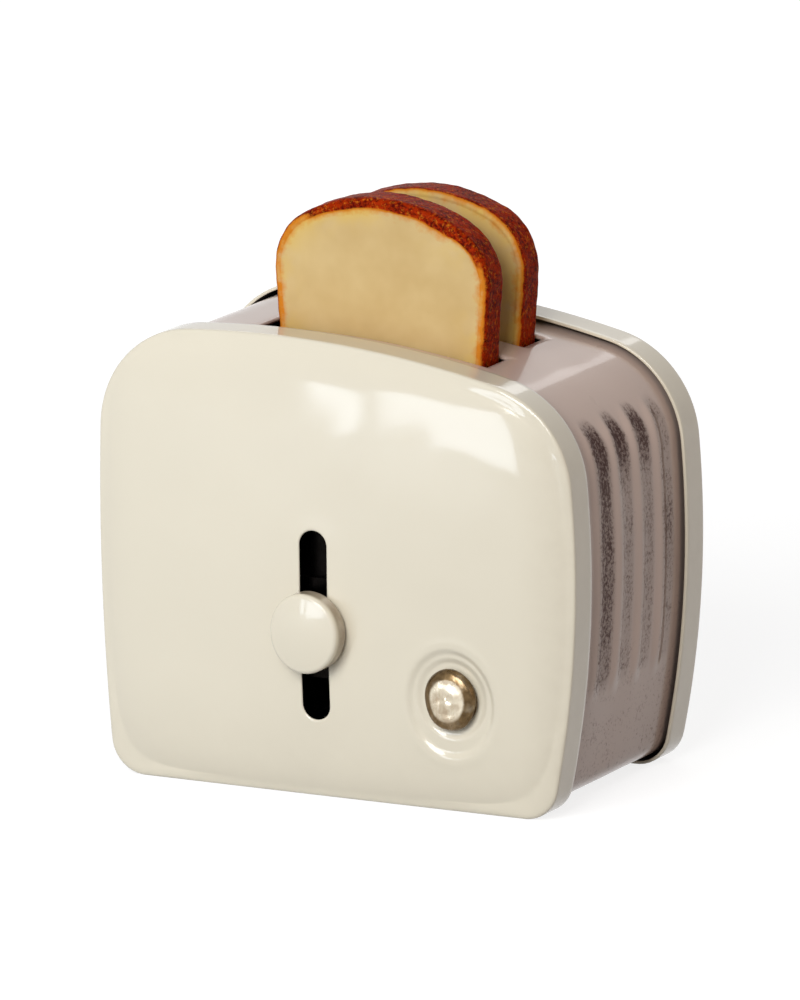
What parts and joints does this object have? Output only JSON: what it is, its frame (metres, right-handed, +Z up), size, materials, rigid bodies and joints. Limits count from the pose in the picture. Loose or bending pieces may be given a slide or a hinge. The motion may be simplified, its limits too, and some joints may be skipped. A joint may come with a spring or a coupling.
{
  "type": "toy toaster",
  "caption": "Miniature pressed-tin toy toaster with domed cream covers, a sliding lever that lifts a tray, a small dial and two play slices of bread in its slots.",
  "frame": {"origin": "on the surface it stands on, under the middle of its overall box", "axes": "+X to the right of the lever face, +Y from the lever face to the back, +Z up"},
  "size_m": [0.063, 0.0412, 0.0704],
  "materials": {
    "cream_paint": "gloss cream enamel",
    "wrap_paint": "gloss cream-grey enamel",
    "bare_tin": "plain tinplate",
    "bare_steel": "plain steel",
    "black_plastic": "matt black",
    "aged_nickel": "worn nickel over brass",
    "play_bread": "painted resin, satin"
  },
  "bodies": {
    "case": {"front_cover": "cream_paint", "rear_cover": "cream_paint", "body_wrap": "wrap_paint", "base_plate": "bare_tin", "base_rivets": "bare_steel", "guide_rail_left": "bare_tin", "guide_rail_right": "bare_tin"},
    "lever": {"lever_knob": "cream_paint", "lever_stem": "bare_steel", "slot_bush": "black_plastic", "friction_washer": "black_plastic", "lever_push_nut": "bare_steel", "slider_plate": "bare_tin", "lift_carriage": "bare_tin"},
    "dial": {"dial_button": "aged_nickel", "dial_spring_washer": "bare_steel", "dial_push_nut": "bare_steel"},
    "slice_front": {"bread_slice_front": "play_bread"},
    "slice_rear": {"bread_slice_rear": "play_bread"}
  },
  "joints": [
    {"name": "lever_lift", "type": "slide", "parent": "case", "child": "lever", "axis": [0, 0, 1], "range_m": [-0.0088, 0.01]},
    {"name": "dial_turn", "type": "hinge", "parent": "case", "child": "dial", "pos_m": [0.0159, 0, 0.0139], "axis": [0, -1, 0], "continuous": true},
    {"name": "slice_front_lift", "type": "slide", "parent": "lever", "child": "slice_front", "axis": [0, 0, 1], "range_m": [0, 0.045]},
    {"name": "slice_rear_lift", "type": "slide", "parent": "lever", "child": "slice_rear", "axis": [0, 0, 1], "range_m": [0, 0.045]}
  ]
}
